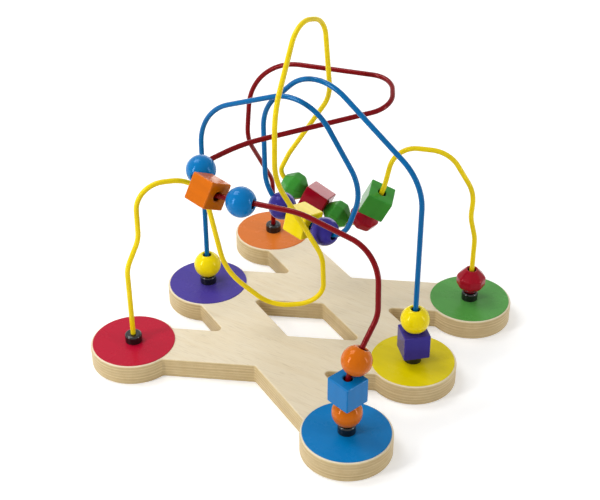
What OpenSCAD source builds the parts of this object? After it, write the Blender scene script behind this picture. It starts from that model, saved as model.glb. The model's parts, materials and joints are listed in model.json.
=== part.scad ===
// Bead maze: a plywood board with six coloured pads and three bent wires that carry wooden beads.
// Millimetres, +Z up, origin on the underside of the board at its middle.
// +X runs from the red, purple and orange pads to the blue, yellow and green ones.

/* [Board] */
// Distance from the middle to the pads on the left and right
pad_x = 110; // [100:1:125]
// Distance from the middle to the pads at the front and back
pad_y = 110; // [100:1:125]
// Diameter of a round pad
pad_d = 76; // [70:1:90]
// Width of an arm
arm_w = 46; // [38:1:54]
// Thickness of the plywood
board_t = 19; // [16:0.5:25]
// Radius left by the cutter in the inside corners
notch_r = 4; // [2:0.5:6]
// Width of the broken edge along the top and bottom
edge_ease = 1; // [0.5:0.1:2]

/* [Discs] */
// Wood left round the coloured disc on a pad
disc_margin = 1.75; // [1:0.25:4]
// Thickness of the coloured disc
disc_t = 0.6; // [0.3:0.1:1.5]

/* [Collars and screws] */
// Diameter of the black collar
collar_d = 15; // [12:0.5:20]
// Height of the collar above the disc
collar_h = 8; // [5:0.5:12]
// Rounding of the collar's top edge
collar_round = 2; // [1:0.5:3]
// Diameter of the collar's plug in the board
plug_d = 9; // [8:0.5:10.5]
// Depth of the plug in the board
plug_depth = 10.5; // [8:0.5:11]
// Diameter of the screw's shank
screw_d = 3.5; // [3:0.1:4]
// Depth of the screw in the plug
screw_bite = 3; // [2:0.5:4]
// Plastic between the screw's tip and the wire's end
socket_floor = 2.5; // [1:0.5:3]
// Diameter of the screw's head
head_d = 7; // [6:0.5:8]
// Height of the screw's head
head_h = 2.4; // [2:0.1:3]
// Depth of the counterbore for the screw's head
counterbore = 4.5; // [3.5:0.5:5]

/* [Wires] */
// Diameter of the coated wire
wire_d = 4.5; // [3.5:0.1:5]
// Height of the tallest loop above the discs
maze_h = 273; // [250:1:300]

/* [Beads] */
// Diameter of a round bead
round_d = 25; // [22:0.5:26]
// Diameter of a round bead's flat ends
round_end = 11; // [10:0.5:13]
// Width of a cube
cube_w = 23; // [20:0.5:24]
// Width of the cube's broken edges
cube_ease = 1; // [0.5:0.1:2]
// Width of a faceted bead across its belt
facet_d = 25; // [22:0.5:26]
// Length of a faceted bead
facet_l = 24; // [22:0.5:26]
// Height of the belt of a faceted bead
facet_belt = 8; // [5:0.5:12]
// Width of a faceted bead at its ends
facet_end = 11; // [10:0.5:14]
// Diameter of the hole through a bead
bore_d = 7.4; // [7:0.1:8]
// Widening at the mouths of the hole
bore_flare = 1; // [0.5:0.1:1.5]

/* [Hidden] */
$fn = 48;

// Radial clearance of a piece that is pressed or glued into a hole
slip = 0.05;
// Radial clearance of the screw's shank and head in the board
screw_gap = 0.2;
head_gap = 0.5;
// Gap between a bead and what it rests on
rest_gap = 0.3;
// Overlap of solids that are joined into one
lap = 0.2;
// Difference in radius that keeps a bend's surface just inside its legs
hair = 0.01;

// Pads
pad_red = [-pad_x, -pad_y];
pad_purple = [-pad_x, 0];
pad_orange = [-pad_x, pad_y];
pad_blue = [pad_x, -pad_y];
pad_yellow = [pad_x, 0];
pad_green = [pad_x, pad_y];
pads = [pad_red, pad_purple, pad_orange, pad_blue, pad_yellow, pad_green];
// Each arm runs from pad to pad through the middle of one of the two crosses
arms = [
    [pad_red, pad_yellow], [pad_purple, pad_blue],
    [pad_purple, pad_green], [pad_orange, pad_yellow],
];
arm_angle = atan2(pad_y, 2 * pad_x);
cross_y = pad_y / 2;

// Heights and lengths
disc_top = board_t + disc_t;
bead_floor = disc_top + collar_h + rest_gap;
wire_in = plug_depth - screw_bite - socket_floor;
screw_l = board_t - plug_depth - counterbore + screw_bite;
disc_d = pad_d - 2 * disc_margin;
round_l = sqrt(round_d * round_d - round_end * round_end);

// Screw's head: its broken edge and the cross in it
head_ease = 0.6;
slot_l = 4.2;
slot_w = 1;
slot_depth = 1.2;

// Colours
birch = "#e6d7ba";
crimson = "#c8304c";
violet = "#5b4aa6";
orange = "#e58a3c";
azure = "#0f78c8";
lemon = "#ecd814";
leaf = "#4f9c48";
wire_red_paint = "#8c1420";
wire_blue_paint = "#1768aa";
wire_yellow_paint = "#e8cf1c";
black = "#161616";
steel = "#b8bcc0";

// Route of each wire: the corners of its bends, chosen for pads at 110 mm and a tallest loop of 273 mm.
// A corner is x, y, height above the discs, and the radius of the bend.
route_grid = 110;
route_top = 273;
yellow_corners = [
    [-110, -110, 76, 30], [-104, -99, 102, 30], [-104, -98, 154, 24], [-68, -56, 152, 30],
    [-54, -46, 58, 60], [-20, -25, 21, 40], [18, 2, 24, 24], [23, -9, 80, 40], [-10, -32, 156, 60],
    [-11, -29, 217, 60], [-17, 14, 278, 27], [-16, 53, 267, 24], [-15, 62, 193, 41],
    [-58, 62, 125, 38],
    [-69, 60, 101, 9], [10, 66, 69, 8], [40, 60, 109, 50], [44, 74, 156, 23], [86, 95, 153, 30],
    [107, 107, 113, 38], [106, 106, 88, 40], [110, 110, 66, 40],
];
blue_corners = [
    [-110, 0, 180, 50], [0, 2, 226, 45], [54, 2, 150, 40], [37, 0, 94, 28],
    [-54, 18, 101, 28], [-54, 16, 190, 45], [2, 10, 246, 45], [110, 0, 175, 45],
];
red_corners = [
    [-110, 110, 58, 30], [-110, 69, 122, 41], [-106, 74, 202, 50], [23, 103, 204, 24],
    [44, 66, 196, 24], [-49, -22, 174, 80], [-80, -95, 161, 28], [40, -71, 161, 80],
    [112, -72, 150, 34], [120, -84, 102, 30], [110, -110, 56, 24],
];
yellow_path = wire_path(pad_red, yellow_corners, pad_green);
blue_path = wire_path(pad_purple, blue_corners, pad_yellow);
red_path = wire_path(pad_orange, red_corners, pad_blue);

// Which of each wire's legs carry beads, counted from its start
yellow_valley_index = 15;
yellow_rise_index = 16;
yellow_last_index = 22;
blue_row_index = 4;
blue_last_index = 8;
red_turn_index = 7;
red_lean_index = 10;
red_last_index = 11;

// Vectors and paths
function unit(v) = v / norm(v);
function xyz(p) = [p[0], p[1], p[2]];
function wire_end(pad) = [pad[0], pad[1], board_t - wire_in, 0];
function stretched(c) = [
    c[0] * pad_x / route_grid,
    c[1] * pad_y / route_grid,
    disc_top + c[2] * maze_h / route_top,
    c[3] * min(pad_x / route_grid, pad_y / route_grid, maze_h / route_top),
];
function wire_path(from, corners, to) =
    concat([wire_end(from)], [for (c = corners) stretched(c)], [wire_end(to)]);

function leg_dir(path, i) = unit(xyz(path[i + 1]) - xyz(path[i]));
function turn(path, i) = acos(leg_dir(path, i - 1) * leg_dir(path, i));
function trim(path, i) = path[i][3] == 0 ? 0 : path[i][3] * tan(turn(path, i) / 2);
function leg_start(path, i) = xyz(path[i]) + leg_dir(path, i) * trim(path, i);
function leg_len(path, i) = norm(xyz(path[i + 1]) - xyz(path[i])) - trim(path, i) - trim(path, i + 1);
function bend_axis(path, i) = unit(cross(leg_dir(path, i - 1), leg_dir(path, i)));
function bend_inward(path, i) = cross(bend_axis(path, i), leg_dir(path, i - 1));
function bend_centre(path, i) =
    xyz(path[i]) - leg_dir(path, i - 1) * trim(path, i) + bend_inward(path, i) * path[i][3];

// Place at a distance along a leg: the point, the wire's direction and the way to the bend's centre.
// A distance past either end of the leg lies on the bend there.
function along(path, i, s) =
    s < 0 ? on_bend(path, i, turn(path, i) + s / path[i][3] * 180 / PI)
    : s > leg_len(path, i) ? on_bend(path, i + 1, (s - leg_len(path, i)) / path[i + 1][3] * 180 / PI)
    : [leg_start(path, i) + leg_dir(path, i) * s, leg_dir(path, i), [0, 0, 0], 0];
function on_bend(path, i, a) =
    let (
        ahead = leg_dir(path, i - 1),
        inward = bend_inward(path, i)
    )
    [
        bend_centre(path, i) + path[i][3] * (ahead * sin(a) - inward * cos(a)),
        ahead * cos(a) + inward * sin(a),
        inward * cos(a) - ahead * sin(a),
        path[i][3],
    ];

// A bead hangs from a sloping wire, and on a bend it sits half the bow of the wire towards the centre
function sideways(v, d) = v - d * (v * d);
function seat_shift(place, l) =
    place[3] > 0 ? place[2] * pow(l - 2 * bore_flare, 2) / 16 / place[3]
    : norm(sideways([0, 0, 1], place[1])) < 0.01 ? [0, 0, 0]
    : unit(sideways([0, 0, -1], place[1])) * ((bore_d - wire_d) / 2 - rest_gap);
function across(d) = norm(sideways([0, 0, 1], d)) < 0.01 ? [1, 0, 0] : unit(sideways([0, 0, 1], d));
function frame(o, x, z) =
    let (y = cross(z, x))
    [[x[0], y[0], z[0], o[0]], [x[1], y[1], z[1], o[1]], [x[2], y[2], z[2], o[2]], [0, 0, 0, 1]];

// Board
module pad_body() {
    rotate_extrude()
        polygon([
            [0, 0], [pad_d / 2 - edge_ease, 0], [pad_d / 2, edge_ease],
            [pad_d / 2, board_t - edge_ease], [pad_d / 2 - edge_ease, board_t], [0, board_t],
        ]);
}

module arm_body(from, to) {
    run = to - from;
    translate([from[0], from[1], 0])
        rotate([90, 0, 90 + atan2(run[1], run[0])])
            linear_extrude(norm(run))
                polygon([
                    [-arm_w / 2 + edge_ease, 0], [arm_w / 2 - edge_ease, 0], [arm_w / 2, edge_ease],
                    [arm_w / 2, board_t - edge_ease], [arm_w / 2 - edge_ease, board_t],
                    [-arm_w / 2 + edge_ease, board_t], [-arm_w / 2, board_t - edge_ease],
                    [-arm_w / 2, edge_ease],
                ]);
}

// Cutter that leaves the round inside corner, with its edges broken like the rest
module notch_cutter() {
    rotate_extrude()
        polygon([
            [0, -lap], [notch_r + edge_ease + lap, -lap], [notch_r, edge_ease],
            [notch_r, board_t - edge_ease], [notch_r + edge_ease + lap, board_t + lap],
            [0, board_t + lap],
        ]);
}

// Fillet between two arms that leave a point at half_angle to either side of +X
module arm_notch(half_angle) {
    tip = arm_w / 2 / sin(half_angle);
    seat = (arm_w / 2 + notch_r - lap / 4) / sin(half_angle);
    reach = (arm_w / 2 + notch_r) / tan(half_angle);
    difference() {
        linear_extrude(board_t)
            polygon([
                [tip / 2, 0], reach * [cos(half_angle), sin(half_angle)],
                [seat, 0], reach * [cos(half_angle), -sin(half_angle)],
            ]);
        translate([seat, 0, 0]) notch_cutter();
    }
}

// Fillet between a pad and the side of an arm that leaves it along +X
module pad_notch() {
    out = pad_d / 2 + notch_r - lap / 4;
    up = arm_w / 2 + notch_r - lap / 4;
    run = sqrt(out * out - up * up);
    difference() {
        linear_extrude(board_t)
            polygon([[run / 2, 0], [run, 0], [run, up], [run, up] * (pad_d / 2 - notch_r) / out]);
        translate([run, up, 0]) notch_cutter();
    }
}

module screw_hole() {
    translate([0, 0, board_t - plug_depth - lap])
        cylinder(d = plug_d + 2 * slip, h = plug_depth + 2 * lap);
    translate([0, 0, -lap]) cylinder(d = screw_d + 2 * screw_gap, h = board_t);
    translate([0, 0, -lap]) cylinder(d = head_d + 2 * head_gap, h = counterbore + lap);
}

module base_board() {
    color(birch)
        difference() {
            union() {
                for (p = pads) translate([p[0], p[1], 0]) pad_body();
                for (a = arms) arm_body(a[0], a[1]);
                for (s = [-1, 1]) translate([0, s * cross_y, 0]) {
                    for (a = [0, 180]) rotate(a) arm_notch(arm_angle);
                    for (a = [90, 270]) rotate(a) arm_notch(90 - arm_angle);
                }
                for (s = [-1, 1])
                    translate([s * pad_x, 0, 0]) rotate(s > 0 ? 180 : 0) arm_notch(arm_angle);
                for (x = [-1, 1], y = [-1, 1]) translate([x * pad_x, y * pad_y, 0])
                    mirror([x > 0 ? 1 : 0, 0, 0]) mirror([0, y > 0 ? 1 : 0, 0])
                        rotate(arm_angle) for (m = [0, 1]) mirror([0, m, 0]) pad_notch();
                for (x = [-1, 1], y = [-1, 1]) translate([x * pad_x, 0, 0])
                    mirror([x > 0 ? 1 : 0, 0, 0]) mirror([0, y > 0 ? 0 : 1, 0])
                        rotate(arm_angle) pad_notch();
            }
            for (p = pads) translate([p[0], p[1], 0]) screw_hole();
        }
}

// Discs, collars and screws
module disc(pad, paint) {
    translate([pad[0], pad[1], board_t])
        color(paint)
            difference() {
                cylinder(d = disc_d, h = disc_t);
                translate([0, 0, -lap]) cylinder(d = plug_d + 2 * slip, h = disc_t + 2 * lap);
            }
}

module collar(pad) {
    translate([pad[0], pad[1], 0])
        color(black)
            difference() {
                union() {
                    translate([0, 0, disc_top]) rotate_extrude() collar_profile();
                    translate([0, 0, board_t - plug_depth])
                        cylinder(d = plug_d, h = plug_depth + disc_t + lap);
                }
                translate([0, 0, board_t - wire_in])
                    cylinder(d = wire_d + 2 * slip, h = wire_in + disc_t + collar_h + lap);
                translate([0, 0, -lap])
                    cylinder(d = screw_d + 2 * slip, h = counterbore + screw_l + 2 * lap);
            }
}

module collar_profile() {
    r = collar_d / 2;
    square([r, collar_h - collar_round]);
    square([r - collar_round, collar_h]);
    translate([r - collar_round, collar_h - collar_round])
        intersection() {
            circle(r = collar_round);
            square(collar_round);
        }
}

// Screw with its head down and the underside of the head at the top of the counterbore
module base_screws() {
    color(steel)
        for (p = pads) translate([p[0], p[1], counterbore - head_h])
            difference() {
                union() {
                    cylinder(d1 = head_d - 2 * head_ease, d2 = head_d, h = head_ease);
                    translate([0, 0, head_ease]) cylinder(d = head_d, h = head_h - head_ease);
                    cylinder(d = screw_d, h = head_h + screw_l);
                }
                for (a = [0, 90]) rotate(a) cube([slot_l, slot_w, 2 * slot_depth], center = true);
            }
}

// Wires
module wire(path, paint) {
    color(paint) {
        for (i = [0 : len(path) - 2])
            multmatrix(frame(leg_start(path, i), across(leg_dir(path, i)), leg_dir(path, i)))
                cylinder(d = wire_d, h = leg_len(path, i));
        for (i = [1 : len(path) - 2]) {
            over = lap / path[i][3] * 180 / PI;
            multmatrix(frame(bend_centre(path, i), -bend_inward(path, i), bend_axis(path, i)))
                rotate(-over)
                    rotate_extrude(angle = turn(path, i) + 2 * over)
                        translate([path[i][3], 0]) circle(r = wire_d / 2 - hair);
        }
    }
}

// Beads, each along +Z with its middle at the origin
module bored(l) {
    mouth = bore_flare + lap;
    difference() {
        children();
        cylinder(d = bore_d, h = l + 2 * lap, center = true);
        for (m = [0, 1]) mirror([0, 0, m]) translate([0, 0, l / 2 - bore_flare])
            cylinder(d1 = bore_d, d2 = bore_d + 2 * mouth, h = mouth);
    }
}

module round_bead() {
    bored(round_l)
        intersection() {
            sphere(d = round_d);
            cylinder(d = 2 * round_d, h = round_l, center = true);
        }
}

module cube_section() {
    intersection() {
        square(cube_w, center = true);
        rotate(45) square((cube_w - cube_ease) * sqrt(2), center = true);
    }
}

module cube_bead() {
    bored(cube_w)
        intersection() {
            linear_extrude(cube_w, center = true) cube_section();
            rotate([90, 0, 0]) linear_extrude(cube_w, center = true) cube_section();
            rotate([0, 90, 0]) linear_extrude(cube_w, center = true) cube_section();
        }
}

module faceted_bead() {
    sides = 8;
    corner_r = 1 / 2 / cos(180 / sides);
    bored(facet_l)
        rotate(180 / sides)
            rotate_extrude($fn = sides)
                polygon([
                    [0, -facet_l / 2], [facet_end * corner_r, -facet_l / 2],
                    [facet_d * corner_r, -facet_belt / 2], [facet_d * corner_r, facet_belt / 2],
                    [facet_end * corner_r, facet_l / 2], [0, facet_l / 2],
                ]);
}

// Puts a bead of length l on a leg, turned round the wire by roll
module on_wire(path, i, s, l, roll = 0) {
    place = along(path, i, s);
    multmatrix(frame(place[0] + seat_shift(place, l), across(place[1]), place[1]))
        rotate(roll) children();
}

// Steps from one bead's middle to the next on a straight leg
round_to_cube = (round_l + cube_w) / 2 + rest_gap;
facet_to_cube = (facet_l + cube_w) / 2 + rest_gap;
// Extra step where the wire bends between two beads: gently, above the last leg and tightly
gentle_step = 1.5;
lean_step = 4;
tight_step = 8;
// Turn of each cube round its wire, in degrees
yellow_wire_red_cube_angle = 75;
yellow_wire_green_cube_angle = 22;
blue_wire_yellow_cube_angle = 12;
blue_wire_purple_cube_angle = 45;
red_wire_orange_cube_angle = 62;
red_wire_blue_cube_angle = 15;
// Distance from a wire's end to the underside of the lowest bead
end_to_bead = bead_floor - board_t + wire_in;

// Yellow wire: three beads down the valley, two up the other side and one at the end
valley_shift = -1;
valley_cube = leg_len(yellow_path, yellow_valley_index) / 2 + valley_shift;
rise_bead = facet_l / 2;
rise_cube = rise_bead + facet_to_cube + gentle_step;

module yellow_wire_green_bead_high() {
    s = valley_cube - facet_to_cube;
    color(leaf) on_wire(yellow_path, yellow_valley_index, s, facet_l) faceted_bead();
}

module yellow_wire_red_cube() {
    roll = yellow_wire_red_cube_angle;
    color(crimson) on_wire(yellow_path, yellow_valley_index, valley_cube, cube_w, roll) cube_bead();
}

module yellow_wire_green_bead_low() {
    s = valley_cube + facet_to_cube;
    color(leaf) on_wire(yellow_path, yellow_valley_index, s, facet_l) faceted_bead();
}

module yellow_wire_red_bead_inner() {
    color(crimson) on_wire(yellow_path, yellow_rise_index, rise_bead, facet_l) faceted_bead();
}

module yellow_wire_green_cube() {
    roll = yellow_wire_green_cube_angle;
    color(leaf) on_wire(yellow_path, yellow_rise_index, rise_cube, cube_w, roll) cube_bead();
}

module yellow_wire_red_bead_end() {
    s = leg_len(yellow_path, yellow_last_index) - end_to_bead - facet_l / 2;
    color(crimson) on_wire(yellow_path, yellow_last_index, s, facet_l) faceted_bead();
}

// Blue wire: one bead at the start, three in the bottom of its loop and two at the end
row_shift = 2;
row_middle = leg_len(blue_path, blue_row_index) / 2 + row_shift;
row_step = round_to_cube + 2 * gentle_step;
blue_end = leg_len(blue_path, blue_last_index) - end_to_bead;

module blue_wire_yellow_bead_start() {
    color(lemon) on_wire(blue_path, 0, end_to_bead + round_l / 2, round_l) round_bead();
}

module blue_wire_purple_bead_right() {
    color(violet) on_wire(blue_path, blue_row_index, row_middle - row_step, round_l) round_bead();
}

module blue_wire_yellow_cube() {
    roll = blue_wire_yellow_cube_angle;
    color(lemon) on_wire(blue_path, blue_row_index, row_middle, cube_w, roll) cube_bead();
}

module blue_wire_purple_bead_left() {
    color(violet) on_wire(blue_path, blue_row_index, row_middle + row_step, round_l) round_bead();
}

module blue_wire_purple_cube() {
    s = blue_end - cube_w / 2;
    roll = blue_wire_purple_cube_angle;
    color(violet) on_wire(blue_path, blue_last_index, s, cube_w, roll) cube_bead();
}

module blue_wire_yellow_bead_end() {
    s = blue_end - cube_w / 2 - round_to_cube;
    color(lemon) on_wire(blue_path, blue_last_index, s, round_l) round_bead();
}

// Red wire: three beads round its front turn and three at the end
turn_cube = -11;
turn_step = round_to_cube + tight_step;
red_end = leg_len(red_path, red_last_index) - end_to_bead;
lean_bend = turn(red_path, red_last_index) * PI / 180 * red_path[red_last_index][3];
red_under = red_end - round_l / 2 - 2 * round_to_cube - lean_step;
red_top = leg_len(red_path, red_lean_index) + lean_bend + red_under;

module red_wire_blue_bead_back() {
    color(azure) on_wire(red_path, red_turn_index, turn_cube - turn_step, round_l) round_bead();
}

module red_wire_orange_cube() {
    roll = red_wire_orange_cube_angle;
    color(orange) on_wire(red_path, red_turn_index, turn_cube, cube_w, roll) cube_bead();
}

module red_wire_blue_bead_front() {
    color(azure) on_wire(red_path, red_turn_index, turn_cube + turn_step, round_l) round_bead();
}

module red_wire_orange_bead_top() {
    color(orange) on_wire(red_path, red_lean_index, red_top, round_l) round_bead();
}

module red_wire_blue_cube() {
    s = red_end - round_l / 2 - round_to_cube;
    roll = red_wire_blue_cube_angle;
    color(azure) on_wire(red_path, red_last_index, s, cube_w, roll) cube_bead();
}

module red_wire_orange_bead_end() {
    color(orange) on_wire(red_path, red_last_index, red_end - round_l / 2, round_l) round_bead();
}

base_board();
disc(pad_red, crimson);  // disc_red
disc(pad_purple, violet);  // disc_purple
disc(pad_orange, orange);  // disc_orange
disc(pad_blue, azure);  // disc_blue
disc(pad_yellow, lemon);  // disc_yellow
disc(pad_green, leaf);  // disc_green
collar(pad_red);  // collar_red_pad
collar(pad_purple);  // collar_purple_pad
collar(pad_orange);  // collar_orange_pad
collar(pad_blue);  // collar_blue_pad
collar(pad_yellow);  // collar_yellow_pad
collar(pad_green);  // collar_green_pad
base_screws();
wire(yellow_path, wire_yellow_paint);  // wire_yellow
wire(blue_path, wire_blue_paint);  // wire_blue
wire(red_path, wire_red_paint);  // wire_red
yellow_wire_green_bead_high();
yellow_wire_red_cube();
yellow_wire_green_bead_low();
yellow_wire_red_bead_inner();
yellow_wire_green_cube();
yellow_wire_red_bead_end();
blue_wire_yellow_bead_start();
blue_wire_purple_bead_right();
blue_wire_yellow_cube();
blue_wire_purple_bead_left();
blue_wire_purple_cube();
blue_wire_yellow_bead_end();
red_wire_blue_bead_back();
red_wire_orange_cube();
red_wire_blue_bead_front();
red_wire_orange_bead_top();
red_wire_blue_cube();
red_wire_orange_bead_end();
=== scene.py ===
import json
import math

import bmesh
import bpy
from bpy.props import FloatProperty, FloatVectorProperty, IntProperty, PointerProperty
from bpy.types import Operator, Panel, PropertyGroup
from mathutils import Matrix, Vector


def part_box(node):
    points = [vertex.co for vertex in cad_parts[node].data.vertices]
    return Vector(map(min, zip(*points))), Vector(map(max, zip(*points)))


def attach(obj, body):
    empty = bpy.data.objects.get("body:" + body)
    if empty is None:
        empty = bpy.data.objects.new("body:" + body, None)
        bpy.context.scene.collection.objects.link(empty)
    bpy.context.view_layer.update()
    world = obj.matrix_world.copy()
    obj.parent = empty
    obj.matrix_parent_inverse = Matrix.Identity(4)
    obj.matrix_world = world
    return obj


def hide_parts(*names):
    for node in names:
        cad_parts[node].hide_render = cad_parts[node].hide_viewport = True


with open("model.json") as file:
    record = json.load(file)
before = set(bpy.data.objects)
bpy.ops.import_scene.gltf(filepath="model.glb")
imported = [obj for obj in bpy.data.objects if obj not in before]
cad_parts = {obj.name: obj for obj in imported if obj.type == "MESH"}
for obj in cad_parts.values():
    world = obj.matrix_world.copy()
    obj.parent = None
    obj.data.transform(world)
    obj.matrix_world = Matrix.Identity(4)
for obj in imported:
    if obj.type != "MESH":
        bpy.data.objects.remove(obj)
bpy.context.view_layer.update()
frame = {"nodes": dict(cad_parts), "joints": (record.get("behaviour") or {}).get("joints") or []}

bl_info = {
    "name": "Bead maze",
    "version": (1, 0, 0),
    "blender": (4, 5, 0),
    "location": "3D View > Sidebar > Bead maze",
    "description": "Dresses the packed bead maze: plywood board, painted pads, "
                   "coated wires and wooden beads",
    "category": "Object",
}

MM = 0.001
SAME_PLACE = 0.02 * MM
QUARTER_TURN = math.radians(90)
COLOURS = ("red", "purple", "orange", "blue", "yellow", "green")

# Sides of the round and eight-sided forms
DISC_SIDES, COLLAR_SIDES, SCREW_SIDES, BORE_SIDES = 128, 64, 48, 48
BALL_SIDES, BALL_RINGS = 64, 48
FACETS = 8
# Width and depth of each step of a collar's dimple, in millimetres
DIMPLE = ((0.5, 0.25), (0.35, 0.6))
# Share of the paint's hue in the gloss of a lacquer
GLOSS_HUE = 0.7

# First and last pad of each wire, and the corners of its bends in millimetres:
# x, y, height above the discs and radius of the bend
ROUTES = {
    "yellow": ("red", "green", [
        (-110, -110, 76, 30), (-104, -99, 102, 30), (-104, -98, 154, 24), (-68, -56, 152, 30),
        (-54, -46, 58, 60), (-20, -25, 21, 40), (18, 2, 24, 24), (23, -9, 80, 40),
        (-10, -32, 156, 60), (-11, -29, 217, 60), (-17, 14, 278, 27), (-16, 53, 267, 24),
        (-15, 62, 193, 41), (-58, 62, 125, 38), (-69, 60, 101, 9), (10, 66, 69, 8),
        (40, 60, 109, 50), (44, 74, 156, 23), (86, 95, 153, 30), (107, 107, 113, 38),
        (106, 106, 88, 40), (110, 110, 66, 40),
    ]),
    "blue": ("purple", "yellow", [
        (-110, 0, 180, 50), (0, 2, 226, 45), (54, 2, 150, 40), (37, 0, 94, 28),
        (-54, 18, 101, 28), (-54, 16, 190, 45), (2, 10, 246, 45), (110, 0, 175, 45),
    ]),
    "red": ("orange", "blue", [
        (-110, 110, 58, 30), (-110, 69, 122, 41), (-106, 74, 202, 50), (23, 103, 204, 24),
        (44, 66, 196, 24), (-49, -22, 174, 80), (-80, -95, 161, 28), (40, -71, 161, 80),
        (112, -72, 150, 34), (120, -84, 102, 30), (110, -110, 56, 24),
    ]),
}
# Paint of each bead and, for a cube, its turn round the wire in degrees
ROUND_BEADS = {
    "blue_wire_yellow_bead_start": "yellow", "blue_wire_yellow_bead_end": "yellow",
    "blue_wire_purple_bead_right": "purple", "blue_wire_purple_bead_left": "purple",
    "red_wire_blue_bead_back": "blue", "red_wire_blue_bead_front": "blue",
    "red_wire_orange_bead_top": "orange", "red_wire_orange_bead_end": "orange",
}
FACETED_BEADS = {
    "yellow_wire_green_bead_high": "green", "yellow_wire_green_bead_low": "green",
    "yellow_wire_red_bead_inner": "red", "yellow_wire_red_bead_end": "red",
}
CUBES = {
    "yellow_wire_red_cube": ("red", 75), "yellow_wire_green_cube": ("green", 22),
    "blue_wire_yellow_cube": ("yellow", 12), "blue_wire_purple_cube": ("purple", 45),
    "red_wire_orange_cube": ("orange", 62), "red_wire_blue_cube": ("blue", 15),
}
# Azimuth and elevation of each softbox in degrees, its distance, width and height in metres,
# and its power in watts
SOFTBOXES = {
    "left_softbox": (-27, 22, 1.5, 0.26, 0.9, 10.8),
    "right_softbox": (104, 14, 1.6, 0.2, 0.9, 6),
    "top_softbox": (-85, 60, 1.5, 0.75, 0.75, 11),
    "back_softbox": (-165, 12, 1.7, 1.4, 0.5, 5),
}
LIT_POINT = Vector((0, 0, 0.12))


def linear(code):
    """Linear colour of a six-figure sRGB code."""
    parts = [int(code[i:i + 2], 16) / 255 for i in (0, 2, 4)]
    return tuple(p / 12.92 if p <= 0.04045 else ((p + 0.055) / 1.055) ** 2.4 for p in parts)


def size(name, description, millimetres):
    """A length for the panel, given in millimetres."""
    return FloatProperty(name=name, description=description, default=millimetres * MM,
                         min=0, precision=5, subtype="DISTANCE", unit="LENGTH")


def amount(name, description, value):
    """A plain number for the panel."""
    return FloatProperty(name=name, description=description, default=value, min=0, precision=3)


def colour(name, description, code):
    """A colour for the panel, given as a six-figure sRGB code."""
    return FloatVectorProperty(name=name, description=description, default=linear(code),
                               min=0, max=1, size=3, subtype="COLOR")


class BoardLook(PropertyGroup):
    """Plywood board"""
    plies: IntProperty(name="Plies", description="Layers of veneer in the board", default=13, min=3)
    soften: size("Softening", "Rounding of the board's broken edges", 0.4)
    wave: size("Wave", "Waviness of the plies at the edge", 0.16)
    wrap: size("Wrap", "How far down the edge the face veneer shows in full", 0.35)
    fade: size("Fade", "How far down the edge the face veneer fades out", 0.75)
    face: colour("Face", "Pale birch of the face veneer", "e9dec6")
    figure: colour("Figure", "Darker figure in the face veneer", "d8c49c")
    long_grain: colour("Long grain", "Plies that show their long grain", "dac698")
    end_grain: colour("End grain", "Plies that show their end grain", "c8ae7e")
    glue: colour("Glue", "Glue lines between the plies", "967a50")


class DiscLook(PropertyGroup):
    """Painted discs"""
    rim: size("Rim", "Rounding of a disc's edge", 0.3)
    play: size("Play", "Gap between a disc and the plug in it", 0.05)
    red: colour("Red", "Red disc", "b80c30")
    purple: colour("Purple", "Purple disc", "483a98")
    orange: colour("Orange", "Orange disc", "d87428")
    blue: colour("Blue", "Blue disc", "0078bc")
    yellow: colour("Yellow", "Yellow disc", "e2ce00")
    green: colour("Green", "Green disc", "529c46")


class CollarLook(PropertyGroup):
    """Black collars"""
    diameter: size("Diameter", "Diameter of a collar", 15)
    height: size("Height", "Height of a collar above its disc", 8)
    rounding: size("Rounding", "Rounding of a collar's top edge", 2)
    foot: size("Foot", "Rounding of a collar's lower edge", 0.3)
    dimple: size("Dimple", "Width of the dimple round the wire", 0.9)
    plug: size("Plug", "Diameter of the plug in the board", 9)
    black: colour("Black", "Moulded black plastic", "101012")


class ScrewLook(PropertyGroup):
    """Screws under the collars"""
    head: size("Head", "Diameter of a screw's head", 7)
    head_h: size("Head height", "Height of a screw's head", 2.4)
    head_edge: size("Head edge", "Rounding of a screw's head", 0.9)
    shank: size("Shank", "Diameter of a screw's shank", 3.5)
    tip: size("Tip", "Length of a screw's tip", 1.2)
    taper: amount("Taper", "Width of the tip's end as a share of the shank", 0.55)
    recess_l: size("Recess length", "Length of each slot of the cross recess", 4.2)
    recess_w: size("Recess width", "Width of each slot of the cross recess", 1)
    recess_h: size("Recess depth", "Depth of the cross recess", 1.2)
    zinc: colour("Zinc", "Zinc plating of the screws", "b4b8bc")


class WireLook(PropertyGroup):
    """Coated wires"""
    diameter: size("Diameter", "Diameter of a coated wire", 4.5)
    sides: IntProperty(name="Sides", description="Sides of a wire's section", default=24, min=8)
    step: FloatProperty(name="Step", description="Turn of one step in a bend",
                        default=math.radians(5), subtype="ANGLE", unit="ROTATION")
    yellow: colour("Yellow", "Yellow coating", "ecd012")
    blue: colour("Blue", "Blue coating", "00629e")
    red: colour("Red", "Red coating", "760208")


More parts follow.
